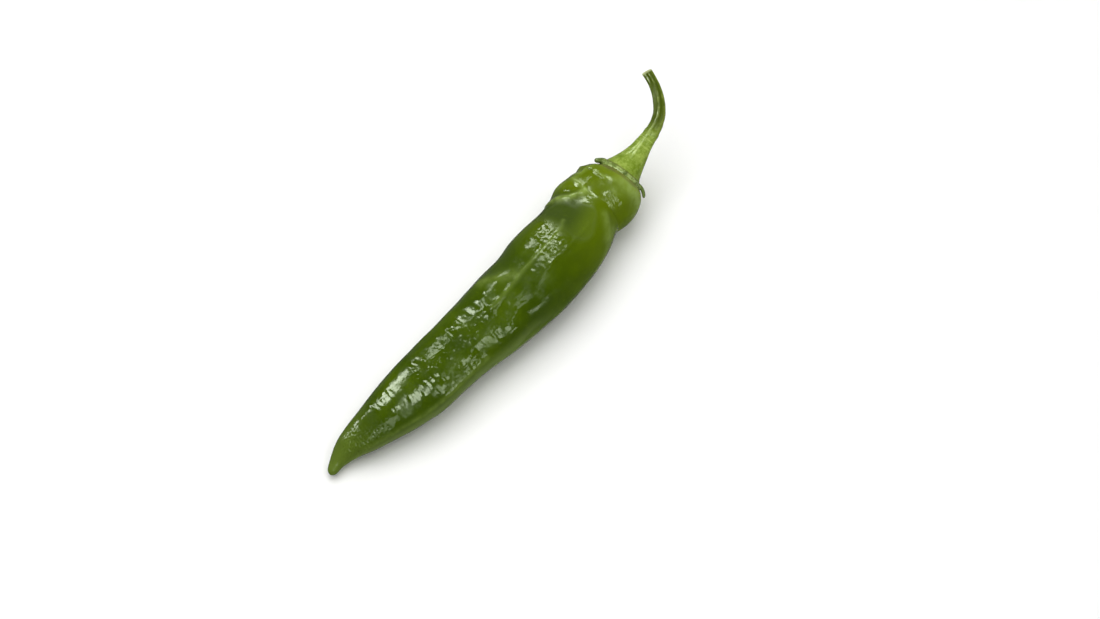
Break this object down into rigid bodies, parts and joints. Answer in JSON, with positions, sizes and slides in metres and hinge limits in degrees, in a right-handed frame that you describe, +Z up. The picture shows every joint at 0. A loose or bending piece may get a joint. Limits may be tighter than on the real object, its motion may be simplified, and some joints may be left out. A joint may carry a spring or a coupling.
{
  "type": "chilli pepper",
  "caption": "Long green chilli pepper lying on its side: a tapering glossy pod with a hooked tip, capped by a ribbed, curved stem.",
  "frame": {"origin": "middle of the flat spot that the pod rests on, under its weight, on the surface it lies on", "axes": "+X along the pod from its tip to its stem, +Z up, +Y to the side that the stem bends towards"},
  "size_m": [0.1962, 0.04, 0.0355],
  "materials": {
    "pod_skin": "waxy gloss, deep green",
    "stem_skin": "dull, lighter yellow-green"
  },
  "bodies": {
    "root": {"pod": "pod_skin", "stem": "stem_skin"}
  },
  "joints": []
}
